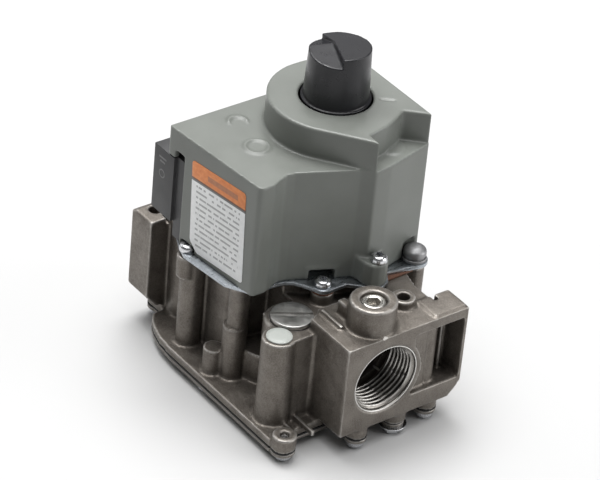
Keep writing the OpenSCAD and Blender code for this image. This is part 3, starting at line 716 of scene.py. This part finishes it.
def regulator_cap_screw():
    low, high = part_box("regulator_cap")
    flange = 1.4 * MM
    radius = (high.x - low.x) / 2
    length = high.z - low.z - flange
    profile = rounded([(0, -length), (radius - 0.7 * MM, -length, 0.2 * MM),
                       (radius - 0.05 * MM, -length + 0.7 * MM), (radius - 0.05 * MM, 0),
                       (radius, 0, 0.1 * MM), (radius, flange, 0.45 * MM), (0, flange)])
    obj = from_bmesh("regulator_cap_screw", lathe(profile, segments=96))
    slot = box_prism((-9 * MM, 9 * MM), (-1.25 * MM, 1.25 * MM), (0.55 * MM, 3 * MM),
                     Matrix.Rotation(SLOT_TURN, 4, "Z"))
    cut(obj, from_bmesh("slot", slot))
    obj.data.transform(Matrix.Translation((CAP_AXIS.x, CAP_AXIS.y, high.z - flange)))
    modify(obj, "BEVEL", width=0.22 * MM, segments=3, limit_method="ANGLE", angle_limit=math.radians(50))
    place_piece(shade(obj), "housing", "turned_steel", CAP_STEEL, "regulator_cap")


def vent_dome():
    low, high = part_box("vent_plug")
    radius = (high.x - low.x) / 2
    seat = high.z - 1.1 * MM
    profile = rounded([(0, low.z), (1.8 * MM, low.z, 0.3 * MM), (2.1 * MM, low.z + 0.6 * MM),
                       (2.1 * MM, seat), (radius, seat, 0.1 * MM), (radius, seat + 0.5 * MM, 0.3 * MM),
                       (radius * 0.72, high.z - 0.05 * MM, 1.2 * MM), (0, high.z)], 6)
    obj = from_bmesh("vent_dome", lathe(profile, Matrix.Translation((VENT_AXIS.x, VENT_AXIS.y, 0)), 64))
    place_piece(shade(obj), "housing", "vent_plastic", VENT, "vent_plug")


def tap_plugs():
    rows = (("outlet_tap_screw", "outlet_tap_plug", OUTLET_TAP),
            ("inlet_tap_screw", "inlet_tap_plug", INLET_TAP))
    for name, node, axis in rows:
        low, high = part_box(node)
        radius = (high.x - low.x) / 2
        top, depth = high.z, high.z - low.z
        profile = rounded([(0, -depth), (radius - 1.2 * MM, -depth), (radius - 0.05 * MM, -depth + 1.2 * MM),
                           (radius - 0.05 * MM, -0.7 * MM), (4.3 * MM, -0.7 * MM),
                           (4.3 * MM, -0.25 * MM, 0.15 * MM), (3.9 * MM, 0, 0.2 * MM),
                           (3.1 * MM, 0, 0.2 * MM), (2.9 * MM, -0.25 * MM), (0, -0.25 * MM)])
        obj = from_bmesh(name, lathe(profile, segments=64))
        cut(obj, from_bmesh("socket", prism(hexagon(2.75 * MM), -4 * MM, MM)))
        obj.data.transform(Matrix.Translation((axis.x, axis.y, top)))
        modify(obj, "BEVEL", width=0.08 * MM, segments=2, limit_method="ANGLE", angle_limit=math.radians(45))
        place_piece(shade(obj), "housing", "turned_steel", TURNED, node)


def standoff_post():
    low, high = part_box("plate_standoff")
    axis = middle("plate_standoff")
    seat = high_z("operator_plate")
    profile = rounded([(0, low.z), (1.8 * MM, low.z, 0.2 * MM), (2 * MM, low.z + 0.5 * MM), (2 * MM, seat),
                       (4.5 * MM, seat, 0.15 * MM), (4.5 * MM, seat + 1.2 * MM, 0.4 * MM),
                       (3.8 * MM, seat + 1.3 * MM, 0.2 * MM), (3.8 * MM, seat + 1.9 * MM, 0.2 * MM),
                       (4.3 * MM, seat + 2.1 * MM, 0.3 * MM), (4.3 * MM, high.z - 1.5 * MM, 1.2 * MM),
                       (2.2 * MM, high.z - 0.1 * MM, 1.2 * MM), (0, high.z)], 6)
    obj = from_bmesh("standoff_post", lathe(profile, Matrix.Translation((axis.x, axis.y, 0)), 64))
    place_piece(shade(obj), "housing", "turned_steel", SATIN, "plate_standoff")


# ---------------------------------------------------------------- label
def quarter_turn(cx, cy, radius, start):
    """Points of a quarter circle about (cx, cy), from a start angle in degrees."""
    turn = [math.radians(start + 15 * k) for k in range(7)]
    return [(cx + radius * math.cos(a), cy + radius * math.sin(a)) for a in turn]


def info_label():
    """A thin printed sheet with round corners, one of them cut off, stuck a little askew on the long wall."""
    corner, clipped = 1.4 * MM, 3.4 * MM
    outline = []
    for x, y, start in ((LABEL_W, LABEL_H, 0), (0, LABEL_H, 90)):
        cx, cy = min(max(x, corner), LABEL_W - corner), y - corner
        outline += quarter_turn(cx, cy, corner, start)
    outline += [(0, clipped + 1 * MM), (0.4 * MM, clipped), (clipped, 0.4 * MM), (clipped + 1 * MM, 0)]
    outline += quarter_turn(LABEL_W - corner, corner, corner, 270)
    obj = from_bmesh("info_label", prism(outline, 0, 0.12 * MM))
    modify(obj, "BEVEL", width=0.04 * MM, segments=2, limit_method="ANGLE", angle_limit=math.radians(50))
    obj.matrix_world = (Matrix.Translation(middle("caution_label")) @ Matrix.Rotation(LABEL_YAW, 4, "Z")
                        @ Matrix.Rotation(math.pi / 2, 4, "X") @ Matrix.Rotation(LABEL_LEAN, 4, "Z")
                        @ Matrix.Translation((-LABEL_W / 2, -LABEL_H / 2, -0.06 * MM)))
    place_piece(shade(obj), "housing", "label", LABEL, "caution_label")


# ---------------------------------------------------------------- plate, gasket, bottom cover
def flat_parts():
    obj = bevelled("operator_plate", "operator_base_plate", 0.25 * MM)
    place_piece(obj, "housing", "plated_plate", PLATE, "operator_plate")
    obj = bevelled("plate_gasket", "fibre_gasket_sheet", 0.12 * MM)
    place_piece(obj, "housing", "gasket", GASKET, "plate_gasket")
    obj = softened("bottom_cover", "pressed_bottom_cover", 0.4 * MM, 2, 120_000)
    place_piece(shade(obj, math.radians(60)), "housing", "cast_body", CAST, "bottom_cover")


# ---------------------------------------------------------------- springs and windings
POPPET_ROOM = 0.65 * MM    # left free under the regulator spring, as the poppet lifts into it


def springs():
    """Each row: piece, CAD node, body, joint name, wire radius in mm, turns; a spring with a joint gets a mesh of
    its own.
    """
    rows = (("main_coil_spring", "main_spring", "housing", "main_lift", 0.45, 8),
            ("main_plunger_coil_spring", "main_plunger_spring", "housing", "inlet_lift", 0.4, 8),
            ("servo_coil_spring", "servo_spring", "housing", "servo_lift", 0.3, 6),
            ("regulator_coil_spring", "regulator_spring", "housing", "follower_travel", 0.4, 8),
            ("knob_coil_spring", "knob_spring", "knob", None, 0.5, 8))
    for name, node, body, joint, wire, turns in rows:
        low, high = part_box(node)
        centre = (low + high) / 2
        radius = (high.x - low.x) / 2 - wire * MM
        if joint == "follower_travel":
            low.z += POPPET_ROOM
        obj = shade(from_bmesh(name, coil(centre, radius, wire * MM, low.z, high.z, turns)), math.radians(60))
        place_piece(obj, body, "spring_wire", SPRING, node)
        if joint:
            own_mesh(obj)


def windings():
    """Coils of wire with a ribbed outer face, standing for the CAD's plain rings."""
    for name, node in (("main_winding", "main_coil"), ("servo_winding", "servo_coil")):
        low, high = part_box(node)
        centre = (low + high) / 2
        outer = (high.x - low.x) / 2
        inner = outer - (3.95 if node == "main_coil" else 1.55) * MM
        wire = 0.35 * MM
        turns = int((high.z - low.z) / wire)
        profile = [(inner, high.z), (inner, low.z)]
        for k in range(turns):
            for share, rise in ((0.0, 0.0), (0.3, 0.25), (0.3, 0.75)):
                profile.append((outer - wire * 0.3 + wire * share, low.z + (k + rise) * wire))
        profile.append((outer - wire * 0.3, high.z))
        obj = from_bmesh(name, lathe(profile, Matrix.Translation((centre.x, centre.y, 0)), 64))
        place_piece(shade(obj, math.radians(80)), "housing", "copper_wire", COPPER, node)


# ---------------------------------------------------------------- CAD nodes that keep their own shape
def dress_cad_nodes():
    looks = {"cast_body": CAST, "rubber": RUBBER, "zinc_steel": ZINC, "plated_plate": PLATE,
             "turned_steel": TURNED, "valve_rubber": RUBBER, "spring_wire": SPRING, "gasket": GASKET,
             "cover_plastic": COVER, "knob_plastic": KNOB, "black_plastic": BLACK,
             "white_plastic": WHITE, "vent_plastic": VENT, "copper_wire": COPPER,
             "terminal_metal": BRASS, "label": LABEL}
    for part in frame["record"]["subparts"]:
        node = NODES[part["node"]]
        if not node.hide_render:
            node.data.materials.clear()
            node.data.materials.append(looks[part["material_slot"]])


# ---------------------------------------------------------------- camera, floor and lights
CAMERA_AZIMUTH, CAMERA_ELEVATION, CAMERA_ROLL = math.radians(50.6), math.radians(34.6), math.radians(5.6)
CAMERA_LENS, SENSOR = 204.0, 36.0
CAMERA_DISTANCE = 1.190
AIM = Vector((-0.0422, -0.0105, 0.0376))


def camera():
    across = Vector((math.cos(CAMERA_AZIMUTH), math.sin(CAMERA_AZIMUTH), 0))
    ahead = Vector((-math.sin(CAMERA_AZIMUTH), math.cos(CAMERA_AZIMUTH), 0))
    view = ahead * math.cos(CAMERA_ELEVATION) - Vector((0, 0, math.sin(CAMERA_ELEVATION)))
    up = ahead * math.sin(CAMERA_ELEVATION) + Vector((0, 0, math.cos(CAMERA_ELEVATION)))
    right = across * math.cos(CAMERA_ROLL) + up * math.sin(CAMERA_ROLL)
    top = up * math.cos(CAMERA_ROLL) - across * math.sin(CAMERA_ROLL)
    data = bpy.data.cameras.new("camera")
    data.lens, data.sensor_width = CAMERA_LENS, SENSOR
    data.clip_start, data.clip_end = 0.01, 20
    obj = bpy.data.objects.new("camera", data)
    bpy.context.scene.collection.objects.link(obj)
    turn = Matrix((right, top, -view)).transposed().to_4x4()
    obj.matrix_world = Matrix.Translation(AIM - view * CAMERA_DISTANCE) @ turn
    bpy.context.scene.camera = obj


def floor():
    bm = bmesh.new()
    bmesh.ops.create_grid(bm, x_segments=1, y_segments=1, size=6)
    bmesh.ops.translate(bm, verts=bm.verts, vec=(0, 0, CAD_BOX[0].z - 0.05 * MM))
    obj = from_bmesh("floor", bm)
    look = Look("floor_paper")
    colour = look.mix(look.noise(0.3), (0.52, 0.52, 0.52), (0.55, 0.55, 0.55))
    look.finish(colour, look.ramp(look.noise(0.1), 0, 1, 0.85, 0.95))
    obj.data.materials.append(look.material)


def soft_box(name, towards, distance, size, power):
    """A square area light that shines on the middle of the object."""
    data = bpy.data.lights.new(name, "AREA")
    data.size, data.energy = size, power
    obj = bpy.data.objects.new(name, data)
    bpy.context.scene.collection.objects.link(obj)
    target = (CAD_BOX[0] + CAD_BOX[1]) / 2
    back = Vector(towards).normalized()
    obj.location = target + back * distance
    obj.rotation_mode = "QUATERNION"
    obj.rotation_quaternion = (-back).to_track_quat("-Z", "Y")


def sun(name, towards, strength, angle):
    data = bpy.data.lights.new(name, "SUN")
    data.energy, data.angle = strength, math.radians(angle)
    obj = bpy.data.objects.new(name, data)
    bpy.context.scene.collection.objects.link(obj)
    obj.rotation_mode = "QUATERNION"
    obj.rotation_quaternion = (-Vector(towards)).to_track_quat("-Z", "Y")


def lights():
    sun("key_light", (-0.12, 0.0, 1.0), 2.9, 60)
    soft_box("top_light", (-0.35, 0.1, 1.0), 1.0, 0.6, 8)
    soft_box("back_light", (-0.64, 0.55, 0.62), 1.1, 0.5, 0.8)
    soft_box("right_light", (0.8, 0.75, 0.35), 1.1, 0.7, 5.5)
    soft_box("left_light", (-1.0, -0.5, 0.5), 0.6, 0.4, 0.5)
    world = bpy.data.worlds.new("studio")
    world.use_nodes = True
    world.node_tree.nodes["Background"].inputs["Color"].default_value = (1, 1, 1, 1)
    world.node_tree.nodes["Background"].inputs["Strength"].default_value = 0.14
    bpy.context.scene.world = world
    bpy.context.scene.view_settings.view_transform = "Standard"


# ---------------------------------------------------------------- build
camera()
floor()
lights()
valve_casting()
port_threads()
moulded_cover()
turn_knob()
terminal_housing()
terminal_marks()
screws()
ground_hex_screw()
regulator_cap_screw()
vent_dome()
tap_plugs()
standoff_post()
info_label()
flat_parts()
springs()
windings()
dress_cad_nodes()
